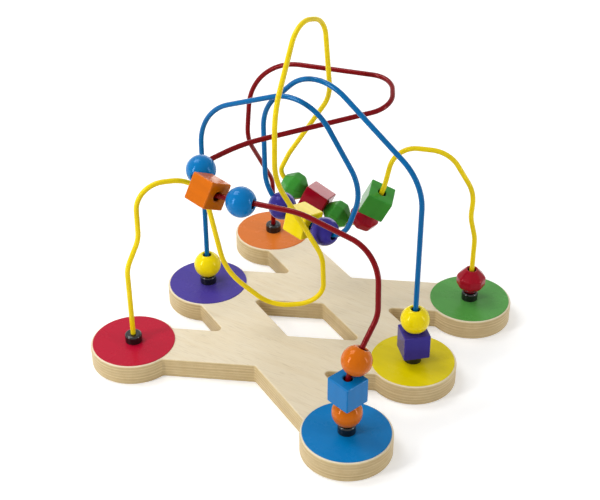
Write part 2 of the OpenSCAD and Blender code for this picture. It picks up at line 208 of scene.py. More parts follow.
class BeadLook(PropertyGroup):
    """Wooden beads"""
    round_d: size("Round bead", "Diameter of a round bead", 25)
    round_end: size("Round end", "Diameter of a round bead's flat ends", 11)
    cube_w: size("Cube", "Width of a cube", 23)
    cube_edge: size("Cube edge", "Rounding of a cube's edges", 1.1)
    facet_d: size("Faceted bead", "Width of a faceted bead across its belt", 25)
    facet_l: size("Faceted length", "Length of a faceted bead", 24)
    facet_belt: size("Belt", "Height of a faceted bead's belt", 8)
    facet_end: size("Faceted end", "Width of a faceted bead at its ends", 11)
    facet_edge: size("Faceted edge", "Rounding of a faceted bead's edges", 1.3)
    end_edge: size("End edge", "Rounding round the ends of round and faceted beads", 0.4)
    bore: size("Bore", "Diameter of the hole through a bead", 7.4)
    flare: size("Flare", "Widening at the mouths of the hole", 1)
    mouth_edge: size("Mouth edge", "Rounding of the hole's mouths", 0.3)
    bare: colour("Bare wood", "Wood under thin paint", "e6d2a8")
    red: colour("Red", "Red bead paint", "9a0a20")
    purple: colour("Purple", "Purple bead paint", "362c88")
    orange: colour("Orange", "Orange bead paint", "cf6804")
    blue: colour("Blue", "Blue bead paint", "0072b4")
    yellow: colour("Yellow", "Yellow bead paint", "f2da04")
    green: colour("Green", "Green bead paint", "3a8e32")


class StageLook(PropertyGroup):
    """Camera, floor and light"""
    sensor: FloatProperty(name="Sensor", description="Width of the camera's sensor", default=36,
                          subtype="DISTANCE_CAMERA")
    lens: FloatProperty(name="Lens", description="Focal length of the camera", default=71.53,
                        subtype="DISTANCE_CAMERA")
    eye: FloatVectorProperty(name="Eye", description="Place of the camera", size=3,
                             default=(0.4740, -0.7348, 0.6596), subtype="XYZ", unit="LENGTH")
    aim: FloatVectorProperty(name="Aim", description="Point that the camera looks at", size=3,
                             default=(-0.0667, 0.0928, 0.0196), subtype="XYZ", unit="LENGTH")
    roll: FloatProperty(name="Roll", description="Turn of the camera round its view",
                        default=math.radians(-0.131), subtype="ANGLE", unit="ROTATION")
    floor: colour("Floor", "Pale floor", "f2f2f2")
    floor_w: size("Floor width", "Width of the floor", 12000)
    glow: amount("Glow", "Glow of the floor under the maze", 0.3)
    glow_from: size("Glow from", "Distance at which the floor starts to turn white", 500)
    glow_to: size("Glow to", "Distance at which the floor is white", 1600)
    sky: amount("Sky", "Light that the white backdrop gives", 0.42)


class BeadMazeLook(PropertyGroup):
    """All that can be changed on the bead maze"""
    board: PointerProperty(type=BoardLook, name="Board", description="Plywood board")
    discs: PointerProperty(type=DiscLook, name="Discs", description="Painted discs")
    collars: PointerProperty(type=CollarLook, name="Collars", description="Black collars")
    screws: PointerProperty(type=ScrewLook, name="Screws", description="Screws under the collars")
    wires: PointerProperty(type=WireLook, name="Wires", description="Coated wires")
    beads: PointerProperty(type=BeadLook, name="Beads", description="Wooden beads")
    stage: PointerProperty(type=StageLook, name="Stage", description="Camera, floor and light")


# Modelling

def deselect():
    bpy.ops.object.select_all(action="DESELECT")


def only(piece):
    """Makes a piece the one that is selected and active."""
    deselect()
    piece.select_set(True)
    bpy.context.view_layer.objects.active = piece


def edit(piece):
    only(piece)
    bpy.ops.object.mode_set(mode="EDIT")


def done():
    bpy.ops.object.mode_set(mode="OBJECT")


def added(name):
    """The object that was just added, under its own name."""
    piece = bpy.context.object
    piece.name = piece.data.name = name
    return piece


def pick_all():
    bpy.ops.mesh.select_all(action="SELECT")


def pick(piece, kind, test):
    """Selects the edges or faces of a piece in edit mode that pass the test."""
    bpy.ops.mesh.select_mode(type=kind)
    bpy.ops.mesh.select_all(action="DESELECT")
    mesh = bmesh.from_edit_mesh(piece.data)
    for item in mesh.edges if kind == "EDGE" else mesh.faces:
        if test(item):
            item.select_set(True)
    mesh.select_flush_mode()
    bmesh.update_edit_mesh(piece.data)


def ring(low, high, z, both=False):
    """Test for edges round the Z axis between two radii, at a height or at both ends."""
    def near(spot):
        height = abs(spot.z) if both else spot.z
        return low < spot.xy.length < high and abs(height - z) < SAME_PLACE
    return lambda edge: all(near(v.co) for v in edge.verts)


def rim(radius, z):
    """Test for the edges of a round rim at a height."""
    return ring(0.9 * radius, 1.1 * radius, z)


def end_face(z):
    """Test for the flat face that looks along the Z axis at a height."""
    return lambda face: (abs(face.normal.z) > 0.99
                         and abs(face.calc_center_median().z - z) < SAME_PLACE)


def bevel(width, segments):
    """Rounds the edges that are selected."""
    bpy.ops.mesh.bevel(offset=width, offset_type="OFFSET", segments=segments, profile=0.5,
                       affect="EDGES")


def grow(value, scale):
    """Extrudes what is selected by a vector and scales the new end."""
    bpy.ops.mesh.extrude_region_move(TRANSFORM_OT_translate={"value": value})
    if scale != 1:
        bpy.ops.transform.resize(value=(scale, scale, 1))


def add_modifier(piece, kind, **settings):
    """Adds a modifier to a piece, sets it and applies it."""
    only(piece)
    bpy.ops.object.modifier_add(type=kind)
    modifier = piece.modifiers[-1]
    for name, value in settings.items():
        setattr(modifier, name, value)
    bpy.ops.object.modifier_apply(modifier=modifier.name)


def cut(piece, cutter):
    """Takes a solid out of a piece and removes the solid."""
    add_modifier(piece, "BOOLEAN", operation="DIFFERENCE", solver="EXACT", object=cutter)
    bpy.data.objects.remove(cutter)


def smooth(piece, degrees=35):
    """Shades a piece smooth but for edges that turn by more than an angle."""
    only(piece)
    bpy.ops.object.shade_smooth_by_angle(angle=math.radians(degrees))
    add_modifier(piece, "WEIGHTED_NORMAL", keep_sharp=True)


def apply_place(piece):
    """Takes a piece's place and turn into its mesh, so that it stands at the origin."""
    only(piece)
    bpy.ops.object.transform_apply(location=True, rotation=True, scale=True)


def duplicate(pattern, name):
    """A copy of a piece with its own mesh."""
    only(pattern)
    bpy.ops.object.duplicate(linked=False)
    return added(name)


def dress(piece, material, body, slot, *nodes):
    """Gives a finished piece its material and its body, and hides the CAD nodes it stands for; the
    slot is not used.
    """
    piece.data.materials.clear()
    piece.data.materials.append(material)
    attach(piece, body)
    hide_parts(*nodes)


def middle(node):
    """Middle of a CAD node's box."""
    low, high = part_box(node)
    return (low + high) / 2


# Shader nodes

def fill(tree, node, inputs):
    """Links or sets a node's inputs."""
    for name, value in inputs.items():
        if isinstance(value, bpy.types.NodeSocket):
            tree.links.new(value, node.inputs[name])
        else:
            node.inputs[name].default_value = value


def put(tree, kind, inputs=None, **settings):
    """Adds a shader node, sets it and fills its inputs."""
    node = tree.nodes.new(kind)
    for name, value in settings.items():
        setattr(node, name, value)
    fill(tree, node, inputs or {})
    return node


def math_node(tree, operation, *values, clamp=False):
    return put(tree, "ShaderNodeMath", dict(enumerate(values)),
               operation=operation, use_clamp=clamp).outputs[0]


def vector_node(tree, operation, *values):
    """A vector operation's outputs, Vector and Value."""
    return put(tree, "ShaderNodeVectorMath", dict(enumerate(values)), operation=operation).outputs


def noise(tree, vector, scale, detail=2.0, roughness=0.5):
    return put(tree, "ShaderNodeTexNoise",
               {"Vector": vector, "Scale": scale, "Detail": detail,
                "Roughness": roughness}).outputs["Fac"]


def spread(tree, value, low, high, to_low=0.0, to_high=1.0, smooth_step=False):
    """Maps a value's range onto another."""
    return put(tree, "ShaderNodeMapRange",
               {"Value": value, "From Min": low, "From Max": high,
                "To Min": to_low, "To Max": to_high},
               interpolation_type="SMOOTHSTEP" if smooth_step else "LINEAR",
               clamp=True).outputs["Result"]


def between(tree, mask, low, high):
    """Maps a mask from 0 to 1 onto two values."""
    return spread(tree, mask, 0, 1, low, high)


def times(tree, value, factor):
    return math_node(tree, "MULTIPLY", value, factor)


def blend(tree, share, a, b):
    """Mixes two colours."""
    return put(tree, "ShaderNodeMix", {0: share, 6: a, 7: b}, data_type="RGBA").outputs[2]


def stretch(tree, vector, scale):
    return put(tree, "ShaderNodeMapping", {"Vector": vector, "Scale": scale}).outputs["Vector"]


def turned(tree, vector, turn):
    return put(tree, "ShaderNodeMapping", {"Vector": vector, "Rotation": turn}).outputs["Vector"]


def new_group(name, inputs, outputs):
    """A shader node group with what it is given and what it gives out, still to be linked."""
    tree = bpy.data.node_groups.new(name, "ShaderNodeTree")
    for socket, kind in inputs.items():
        tree.interface.new_socket(name=socket, in_out="INPUT", socket_type=kind)
    for socket in outputs:
        tree.interface.new_socket(name=socket, in_out="OUTPUT", socket_type="NodeSocketFloat")
    given, out = tree.nodes.new("NodeGroupInput"), tree.nodes.new("NodeGroupOutput")
    return tree, given.outputs, out.inputs


def wood_figure(name):
    """Streaks, pores and slow clouds of wood, along the X axis of the place given."""
    tree, given, out = new_group(name, {"Place": "NodeSocketVector"}, ("Streak", "Pore", "Cloud"))
    wander = put(tree, "ShaderNodeTexNoise",
                 {"Vector": given["Place"], "Scale": 9.0, "Detail": 2.0}).outputs["Color"]
    bent = vector_node(tree, "MULTIPLY", wander, (0.0, 0.012, 0.012))["Vector"]
    place = vector_node(tree, "ADD", given["Place"], bent)["Vector"]
    streak = noise(tree, stretch(tree, place, (7.0, 190.0, 190.0)), 1.0, detail=4.0, roughness=0.6)
    pore = noise(tree, stretch(tree, place, (70.0, 1300.0, 1300.0)), 1.0)
    cloud = noise(tree, given["Place"], 14.0, detail=3.0)
    tree.links.new(spread(tree, streak, 0.3, 0.72), out["Streak"])
    tree.links.new(spread(tree, pore, 0.55, 0.75), out["Pore"])
    tree.links.new(spread(tree, cloud, 0.3, 0.7), out["Cloud"])
    return tree


def handling_marks(name):
    """Uneven gloss, and the height of the paint's fine ripple."""
    tree, given, out = new_group(name, {"Place": "NodeSocketVector", "Ripple": "NodeSocketFloat"},
                                 ("Gloss", "Height"))
    haze = spread(tree, noise(tree, given["Place"], 60.0, detail=4.0, roughness=0.6), 0.3, 0.7)
    specks = spread(tree, noise(tree, given["Place"], 900.0), 0.62, 0.8)
    gloss = math_node(tree, "ADD", haze, times(tree, specks, 0.35), clamp=True)
    ripple = noise(tree, given["Place"], given["Ripple"], roughness=0.45)
    tree.links.new(gloss, out["Gloss"])
    tree.links.new(ripple, out["Height"])
    return tree


def worn_edge(name):
    """Mask of the edges and corners, broken up in patches: wear on the beads and collars, painted
    shade on the rims of the discs.
    """
    tree, given, out = new_group(name, {"Place": "NodeSocketVector", "Width": "NodeSocketFloat"},
                                 ("Mask",))
    rounded = put(tree, "ShaderNodeBevel", {"Radius": given["Width"]}, samples=4).outputs["Normal"]
    flat = put(tree, "ShaderNodeNewGeometry").outputs["Normal"]
    edge = spread(tree, vector_node(tree, "DOT_PRODUCT", rounded, flat)["Value"], 0.995, 0.93)
    wear_and_shade_patches = noise(tree, given["Place"], 260.0, detail=4.0, roughness=0.65)
    tree.links.new(times(tree, edge, spread(tree, wear_and_shade_patches, 0.38, 0.66)), out["Mask"])
    return tree


def use_group(tree, build, inputs):
    """Adds a shared node group, which is built at its first use."""
    name = build.__name__.replace("_", " ").capitalize()
    group = bpy.data.node_groups.get(name) or build(name)
    return put(tree, "ShaderNodeGroup", inputs, node_tree=group).outputs


def new_material(name):
    """A material with an empty tree but for its output and its Principled BSDF."""
    material = bpy.data.materials.new(name)
    material.use_nodes = True
    tree = material.node_tree
    tree.nodes.clear()
    shader = tree.nodes.new("ShaderNodeBsdfPrincipled")
    out = tree.nodes.new("ShaderNodeOutputMaterial")
    tree.links.new(shader.outputs["BSDF"], out.inputs["Surface"])
    return material, tree, shader


def bump(tree, height, strength, distance):
    return put(tree, "ShaderNodeBump", {"Height": height, "Strength": strength,
                                        "Distance": distance}).outputs["Normal"]


def rgba(rgb, share=1.0):
    """A colour for a socket, darker or lighter by a share."""
    return (rgb[0] * share, rgb[1] * share, rgb[2] * share, 1.0)


def gloss_tint(paint):
    """White that takes a share of a paint's hue, for the gloss of coloured lacquer."""
    return rgba([1 - GLOSS_HUE + GLOSS_HUE * p / max(paint) for p in paint])


def object_place(tree):
    return put(tree, "ShaderNodeTexCoord").outputs["Object"]


def plywood(look):
    """Birch plywood: figured face veneers, and plies of long and end grain at the edges."""
    material, tree, shader = new_material("lacquered_birch")
    place = object_place(tree)
    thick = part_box("base_board")[1].z
    z = put(tree, "ShaderNodeSeparateXYZ", {"Vector": place}).outputs["Z"]
    figure = use_group(tree, wood_figure, {"Place": place})
    across = turned(tree, place, (0, 0, QUARTER_TURN))
    crossed = use_group(tree, wood_figure, {"Place": across})
    # Face veneer
    face = blend(tree, between(tree, figure["Streak"], 0.0, 0.38),
                 rgba(look.face), rgba(look.figure))
    face = blend(tree, between(tree, figure["Cloud"], 0.0, 0.3), face, rgba(look.figure, 1.05))
    face = blend(tree, between(tree, figure["Pore"], 0.0, 0.25), face, rgba(look.glue))
    # Plies at the edge
    wave = spread(tree, noise(tree, place, 22.0), 0.2, 0.8, -look.wave, look.wave)
    layer = times(tree, math_node(tree, "ADD", z, wave), look.plies / thick)
    odd = math_node(tree, "MODULO", math_node(tree, "FLOOR", layer), 2.0)
    inside = math_node(tree, "FRACT", layer)
    from_glue = math_node(tree, "MINIMUM", inside, math_node(tree, "SUBTRACT", 1.0, inside))
    glue = spread(tree, from_glue, 0.02, 0.09, 1.0, 0.0, smooth_step=True)
    speck = spread(tree, noise(tree, place, 1400.0, detail=3.0, roughness=0.6), 0.4, 0.7)
    ends = blend(tree, speck, rgba(look.end_grain), rgba(look.end_grain, 0.72))
    longs = blend(tree, between(tree, crossed["Streak"], 0.0, 0.6),
                  rgba(look.long_grain), rgba(look.end_grain))
    edge = blend(tree, times(tree, odd, 0.55), longs, ends)
    lines = noise(tree, stretch(tree, place, (16.0, 16.0, 900.0)), 1.0, detail=3.0, roughness=0.6)
    edge = blend(tree, spread(tree, lines, 0.42, 0.7, 0.0, 0.45), edge, rgba(look.glue, 1.15))
    edge = blend(tree, times(tree, glue, 0.3), edge, rgba(look.glue))
    # The face veneer wraps a little way over the broken edge
    from_face = math_node(tree, "MINIMUM", z, math_node(tree, "SUBTRACT", thick, z))
    on_face = spread(tree, from_face, look.wrap, look.fade, 1.0, 0.0, smooth_step=True)
    marks = use_group(tree, handling_marks, {"Place": place, "Ripple": 320.0})
    height = math_node(tree, "ADD", times(tree, figure["Pore"], -0.5), times(tree, speck, -0.3))
    fill(tree, shader, {
        "Base Color": blend(tree, on_face, edge, face),
        "Roughness": between(tree, marks["Gloss"], 0.36, 0.52),
        "Specular IOR Level": 0.25,
        "Normal": bump(tree, height, strength=0.25, distance=0.15 * MM),
    })
    return material


def disc_paint(name, paint):
    """Semi-gloss paint on the pad, with the grain of the wood just showing, and painted shade
    darkening its rim.
    """
    material, tree, shader = new_material(name)
    place = object_place(tree)
    figure = use_group(tree, wood_figure, {"Place": place})
    marks = use_group(tree, handling_marks, {"Place": place, "Ripple": 700.0})
    tone = blend(tree, between(tree, figure["Streak"], 0.0, 0.5), rgba(paint), rgba(paint, 0.86))
    # Painted shade: the disc's rim and the edge of its plug hole are darkened in patches, standing
    # in for the shade at the edge
    wear_and_shade_patches = use_group(tree, worn_edge, {"Place": place, "Width": 0.4 * MM})["Mask"]
    tone = blend(tree, times(tree, wear_and_shade_patches, 0.5), tone, rgba(paint, 0.45))
    height = math_node(tree, "ADD", times(tree, figure["Streak"], -0.6), marks["Height"])
    fill(tree, shader, {
        "Base Color": tone,
        "Roughness": between(tree, marks["Gloss"], 0.2, 0.32),
        "Specular IOR Level": 0.16,
        "Normal": bump(tree, height, strength=0.12, distance=0.08 * MM),
    })
    return material


def wire_coat(name, paint):
    """Glossy dipped coating, a little uneven along the wire."""
    material, tree, shader = new_material(name)
    place = object_place(tree)
    marks = use_group(tree, handling_marks, {"Place": place, "Ripple": 420.0})
    uneven = spread(tree, noise(tree, place, 45.0, detail=3.0), 0.3, 0.7)
    tone = blend(tree, uneven, rgba(paint, 0.9), rgba(paint, 1.06))
    tone = blend(tree, spread(tree, marks["Gloss"], 0.75, 1, 0.0, 0.18), tone, rgba(paint, 0.7))
    fill(tree, shader, {
        "Base Color": tone,
        "Roughness": between(tree, marks["Gloss"], 0.07, 0.16),
        "Specular IOR Level": 0.3,
        "Specular Tint": gloss_tint(paint),
        "Normal": bump(tree, marks["Height"], strength=0.1, distance=0.1 * MM),
    })
    return material


def bead_paint(name, paint, bare, bore_edge):
    """Glossy paint on turned wood: faint grain, thin paint on the edges, and painted shade inside
    the bore.
    """
    material, tree, shader = new_material(name)
    place = put(tree, "ShaderNodeAttribute", attribute_name="bead_place").outputs["Vector"]
    along = turned(tree, place, (0, QUARTER_TURN, 0))
    figure = use_group(tree, wood_figure, {"Place": along})
    marks = use_group(tree, handling_marks, {"Place": place, "Ripple": 380.0})
    tone = blend(tree, between(tree, figure["Streak"], 0.0, 0.6), rgba(paint), rgba(paint, 0.84))
    wear_and_shade_patches = use_group(tree, worn_edge, {"Place": place, "Width": 0.9 * MM})["Mask"]
    pale = [0.55 * p + 0.45 * b for p, b in zip(paint, bare)]
    tone = blend(tree, times(tree, wear_and_shade_patches, 0.2), tone, rgba(pale))
    # Painted shade: the inside of the bore is darkened to a near-black shade of the paint, where
    # shade falls in the hole
    flat = vector_node(tree, "MULTIPLY", place, (1, 1, 0))["Vector"]
    from_axis = vector_node(tree, "LENGTH", flat)["Value"]
    hole = spread(tree, from_axis, bore_edge, bore_edge + 0.5 * MM, 1.0, 0.0, smooth_step=True)
    tone = blend(tree, hole, tone, rgba(paint, 0.12))
    height = math_node(tree, "ADD", times(tree, figure["Streak"], -0.5), marks["Height"])
    rough = between(tree, marks["Gloss"], 0.09, 0.19)
    fill(tree, shader, {
        "Base Color": tone,
        "Roughness": math_node(tree, "ADD", rough, times(tree, hole, 0.4), clamp=True),
        "Specular IOR Level": 0.3,
        "Specular Tint": gloss_tint(paint),
        "Normal": bump(tree, height, strength=0.12, distance=0.1 * MM),
    })
    return material


def black_plastic(paint):
    """Glossy moulded plastic with fine scuffs."""
    material, tree, shader = new_material("moulded_black")
    place = object_place(tree)
    marks = use_group(tree, handling_marks, {"Place": place, "Ripple": 500.0})
    wear_and_shade_patches = use_group(tree, worn_edge, {"Place": place, "Width": 0.6 * MM})["Mask"]
    tone = blend(tree, times(tree, wear_and_shade_patches, 0.5), rgba(paint), rgba(paint, 4.0))
    fill(tree, shader, {
        "Base Color": tone,
        "Roughness": between(tree, marks["Gloss"], 0.1, 0.24),
        "Specular IOR Level": 0.5,
        "Normal": bump(tree, marks["Height"], strength=0.1, distance=0.1 * MM),
    })
    return material


def zinc_plate(paint):
    """Zinc-plated steel with a spangle and dull patches."""
    material, tree, shader = new_material("zinc_plate")
    place = object_place(tree)
    marks = use_group(tree, handling_marks, {"Place": place, "Ripple": 900.0})
    spangle = spread(tree, noise(tree, place, 500.0, detail=3.0), 0.35, 0.65)
    tone = blend(tree, spangle, rgba(paint), rgba(paint, 0.7))
    fill(tree, shader, {
        "Base Color": tone,
        "Metallic": 1.0,
        "Roughness": between(tree, marks["Gloss"], 0.25, 0.5),
        "Normal": bump(tree, marks["Height"], strength=0.15, distance=0.1 * MM),
    })
    return material


# Operators

class BEADMAZE_OT_board(Operator):
    """Plywood board with softened edges"""
    bl_idname = "bead_maze.board"
    bl_label = "Board"

    def execute(self, context):
        look = context.scene.bead_maze.board
        deselect()
        mesh = frame["nodes"]["base_board"].data.copy()
        piece = bpy.data.objects.new("base_board_plywood", mesh)
        context.scene.collection.objects.link(piece)
        edit(piece)
        pick_all()
        bpy.ops.mesh.remove_doubles(threshold=0.002 * MM)
        pick_all()
        bpy.ops.mesh.dissolve_limited(angle_limit=math.radians(0.5))
        bpy.ops.mesh.customdata_custom_splitnormals_clear()
        done()
        add_modifier(piece, "BEVEL", width=look.soften, segments=3, use_clamp_overlap=True,
                     limit_method="ANGLE", angle_limit=math.radians(30), miter_outer="MITER_ARC")
        smooth(piece)
        dress(piece, plywood(look), "base", "birch_plywood", "base_board")
        return {"FINISHED"}


class BEADMAZE_OT_discs(Operator):
    """Six painted discs, each with a rounded rim and a hole for its collar's plug"""
    bl_idname = "bead_maze.discs"
    bl_label = "Discs"

    def execute(self, context):
        look = context.scene.bead_maze.discs
        hole = context.scene.bead_maze.collars.plug / 2 + look.play
        for name in COLOURS:
            node = "disc_" + name
            low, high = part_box(node)
            radius, thick = (high.x - low.x) / 2, high.z - low.z
            deselect()
            bpy.ops.mesh.primitive_cylinder_add(vertices=DISC_SIDES, radius=radius, depth=thick)
            piece = added(node + "_painted")
            edit(piece)
            pick(piece, "EDGE", rim(radius, thick / 2))
            bevel(look.rim, 3)
            pick(piece, "FACE", lambda f: len(f.verts) == DISC_SIDES)
            bpy.ops.mesh.inset(thickness=radius - look.rim - hole)
            bpy.ops.mesh.delete(type="FACE")
            pick(piece, "EDGE", lambda e: e.is_boundary)
            bpy.ops.mesh.bridge_edge_loops()
            done()
            piece.location = (low + high) / 2
            apply_place(piece)
            smooth(piece)
            finish = disc_paint("painted_" + node, getattr(look, name))
            dress(piece, finish, "base", node, node)
        return {"FINISHED"}


class BEADMAZE_OT_collars(Operator):
    """Six black collars, each with a rounded top, a dimple round the wire and a plug below"""
    bl_idname = "bead_maze.collars"
    bl_label = "Collars"

    def execute(self, context):
        look = context.scene.bead_maze.collars
        wire = context.scene.bead_maze.wires.diameter
        finish = black_plastic(look.black)
        radius, half = look.diameter / 2, look.height / 2
        for name in COLOURS:
            node = "collar_" + name + "_pad"
            low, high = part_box(node)
            deselect()
            bpy.ops.mesh.primitive_cylinder_add(vertices=COLLAR_SIDES, radius=radius,
                                                depth=look.height)
            piece = added(node + "_moulded")
            edit(piece)
            pick(piece, "EDGE", rim(radius, half))
            bevel(look.rounding, 6)
            pick(piece, "EDGE", rim(radius, -half))
            bevel(look.foot, 2)
            pick(piece, "FACE", end_face(half))
            bpy.ops.mesh.inset(thickness=radius - look.rounding - wire / 2 - look.dimple)
            for width, depth in DIMPLE:
                bpy.ops.mesh.inset(thickness=width * MM, depth=-depth * MM)
            pick(piece, "FACE", end_face(-half))
            bpy.ops.mesh.inset(thickness=radius - look.foot - look.plug / 2)
            grow((0, 0, low.z - (high.z - look.height)), 1)
            done()
            piece.location = (*middle(node).xy, high.z - half)
            apply_place(piece)
            smooth(piece)
            dress(piece, finish, "base", "collar_black", node)
        return {"FINISHED"}


class BEADMAZE_OT_screws(Operator):
    """Six pan-head screws under the collars, each with a cross recess"""
    bl_idname = "bead_maze.screws"
    bl_label = "Screws"

    def execute(self, context):
        look = context.scene.bead_maze.screws
        low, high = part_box("base_screws")
        half = look.head_h / 2
        deselect()
        bpy.ops.mesh.primitive_cylinder_add(vertices=SCREW_SIDES, radius=look.head / 2,
                                            depth=look.head_h)
        screw = added("screw")
        edit(screw)
        pick(screw, "EDGE", rim(look.head / 2, -half))
        bevel(look.head_edge, 4)
        pick(screw, "FACE", end_face(half))
        bpy.ops.mesh.inset(thickness=(look.head - look.shank) / 2)
        grow((0, 0, high.z - low.z - look.head_h - look.tip), 1)
        grow((0, 0, look.tip), look.taper)
        done()
        for turn in (0, QUARTER_TURN):
            deselect()
            bpy.ops.mesh.primitive_cube_add(size=1, location=(0, 0, -half))
            slot = added("slot")
            slot.scale = (look.recess_l, look.recess_w, 2 * look.recess_h)
            slot.rotation_euler.z = turn
            apply_place(slot)
            cut(screw, slot)
        smooth(screw)
        screws = []
        for name in COLOURS:
            copy = duplicate(screw, "screw_" + name)
            copy.location = (*middle("collar_" + name + "_pad").xy, low.z + half)
            apply_place(copy)
            screws.append(copy)
        bpy.data.objects.remove(screw)
        deselect()
        for copy in screws:
            copy.select_set(True)
        context.view_layer.objects.active = screws[0]
        bpy.ops.object.join()
        piece = added("base_screws_zinc")
        dress(piece, zinc_plate(look.zinc), "base", "screw_steel", "base_screws")
        return {"FINISHED"}


def bend_wire(path, step):
    """Draws the open ring that is selected along a path of corners, with a spin at each bend."""
    spots = [Vector(p[:3]) for p in path]
    radii = [p[3] for p in path]
    legs = [(b - a).normalized() for a, b in zip(spots, spots[1:])]
    turns = [0, *(a.angle(b) for a, b in zip(legs, legs[1:])), 0]
    trims = [r * math.tan(turn / 2) for r, turn in zip(radii, turns)]
    for i, leg in enumerate(legs, 1):
        run = (spots[i] - spots[i - 1]).length - trims[i - 1] - trims[i]
        grow(leg * run, 1)
        if i < len(legs):
            axis = leg.cross(legs[i]).normalized()
            centre = spots[i] - leg * trims[i] + axis.cross(leg) * radii[i]
            # The spin turns left-handed when it runs without a window
            bpy.ops.mesh.spin(steps=max(3, math.ceil(turns[i] / step)), angle=-turns[i],
                              center=centre, axis=axis)


class BEADMAZE_OT_wires(Operator):
    """Three coated wires, each drawn along its legs and spun round its bends"""
    bl_idname = "bead_maze.wires"
    bl_label = "Wires"

    def execute(self, context):
        look = context.scene.bead_maze.wires
        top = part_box("disc_red")[1].z
        for name, (first, last, corners) in ROUTES.items():
            node = "wire_" + name
            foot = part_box(node)[0].z
            start, end = ((*middle("collar_" + pad + "_pad").xy, foot, 0) for pad in (first, last))
            bends = [(x * MM, y * MM, top + h * MM, r * MM) for x, y, h, r in corners]
            deselect()
            bpy.ops.mesh.primitive_circle_add(vertices=look.sides, radius=look.diameter / 2,
                                              location=start[:3])
            piece = added(node + "_coated")
            apply_place(piece)
            edit(piece)
            bpy.ops.mesh.select_mode(type="EDGE")
            pick_all()
            bend_wire([start, *bends, end], look.step)
            pick_all()
            bpy.ops.mesh.fill_holes(sides=0)
            pick_all()
            bpy.ops.mesh.normals_make_consistent(inside=False)
            done()
            only(piece)
            bpy.ops.object.shade_smooth_by_angle(angle=math.radians(40))
            finish = wire_coat("coated_" + node, getattr(look, name))
            dress(piece, finish, "base", node, node)
        return {"FINISHED"}


def wire_direction(node):
    """Direction of the wire through a bead, from the joint that the bead has on it."""
    joint = next(j for j in frame["joints"] if j["child"] == node)
    axis = Vector(joint["axis"])
    if joint["type"] == "hinge" and not joint.get("continuous"):
        axis = axis.cross(middle(node) - Vector(joint["pos_m"]))
    return axis.normalized()


def thread(piece, node, roll):
    """Puts a bead that was modelled along Z on its wire, and keeps its own place for its grain."""
    own = piece.data.attributes.new("bead_place", "FLOAT_VECTOR", "POINT")
    own.data.foreach_set("vector", [x for v in piece.data.vertices for x in v.co])
    z = wire_direction(node)
    x = Vector((0, 0, 1)) - z * z.z
    x = x.normalized() if x.length > 0.01 else Vector((1, 0, 0))
    turn = Matrix((x, z.cross(x), z)).transposed().to_4x4() @ Matrix.Rotation(roll, 4, "Z")
    piece.matrix_world = Matrix.Translation(middle(node)) @ turn
    apply_place(piece)


def bore_cutter(beads, length):
    """Solid of the hole through a bead, with its widened mouths."""
    overrun = 0.5 * MM
    radius, past = beads.bore / 2, beads.flare + overrun
    deselect()
    bpy.ops.mesh.primitive_cylinder_add(vertices=BORE_SIDES, radius=radius,
                                        depth=length - 2 * beads.flare)
    cutter = added("bore")
    edit(cutter)
    for side in (1, -1):
        pick(cutter, "FACE", end_face(side * (length / 2 - beads.flare)))
        grow((0, 0, side * past), (radius + past) / radius)
    done()
    return cutter


def soften_mouths(piece, beads, half):
    """Rounds the edges where the hole meets the ends of a bead."""
    mouth = beads.bore / 2 + beads.flare
    edit(piece)
    pick(piece, "EDGE", ring(0.98 * mouth, 1.02 * mouth, half, both=True))
    bevel(beads.mouth_edge, 3)
    done()


def bead_finish(beads, name):
    """The paint of a colour's beads, which is made at its first use."""
    finish = "painted_bead_" + name
    return (bpy.data.materials.get(finish)
            or bead_paint(finish, getattr(beads, name), beads.bare, beads.bore / 2))


def string(beads, pattern, nodes):
    """Copies a bead to all its places and removes the pattern."""
    for node, (paint, roll) in nodes.items():
        piece = duplicate(pattern, node + "_painted")
        thread(piece, node, math.radians(roll))
        dress(piece, bead_finish(beads, paint), node, "bead_" + paint, node)
    bpy.data.objects.remove(pattern)


class BEADMAZE_OT_round_beads(Operator):
    """Round beads: balls with flat ends, bored through"""
    bl_idname = "bead_maze.round_beads"
    bl_label = "Round beads"

    def execute(self, context):
        beads = context.scene.bead_maze.beads
        radius, end = beads.round_d / 2, beads.round_end / 2
        half = math.sqrt(radius * radius - end * end)
        mouth = beads.bore / 2 + beads.flare
        deselect()
        bpy.ops.mesh.primitive_uv_sphere_add(segments=BALL_SIDES, ring_count=BALL_RINGS,
                                             radius=radius)
        pattern = added("round_bead")
        edit(pattern)
        for side in (1, -1):
            pick_all()
            bpy.ops.mesh.bisect(plane_co=(0, 0, side * half), plane_no=(0, 0, side),
                                clear_outer=True, use_fill=True)
        pick(pattern, "FACE", lambda f: len(f.verts) == BALL_SIDES)
        bpy.ops.mesh.inset(thickness=end - mouth)
        bpy.ops.mesh.inset(thickness=beads.flare, depth=-beads.flare)
        bpy.ops.mesh.delete(type="FACE")
        pick(pattern, "EDGE", lambda e: e.is_boundary)
        bpy.ops.mesh.bridge_edge_loops()
        pick(pattern, "EDGE", ring((end + mouth) / 2, 1.1 * end, half, both=True))
        bevel(beads.end_edge, 4)
        done()
        soften_mouths(pattern, beads, half)
        smooth(pattern)
        string(beads, pattern, {n: (p, 0) for n, p in ROUND_BEADS.items()})
        return {"FINISHED"}


class BEADMAZE_OT_cubes(Operator):
    """Cubes with rounded edges, bored through"""
    bl_idname = "bead_maze.cubes"
    bl_label = "Cubes"

    def execute(self, context):
        beads = context.scene.bead_maze.beads
        deselect()
        bpy.ops.mesh.primitive_cube_add(size=beads.cube_w)
        pattern = added("cube")
        edit(pattern)
        pick_all()
        bevel(beads.cube_edge, 4)
        done()
        cut(pattern, bore_cutter(beads, beads.cube_w))
        soften_mouths(pattern, beads, beads.cube_w / 2)
        smooth(pattern)
        string(beads, pattern, CUBES)
        return {"FINISHED"}


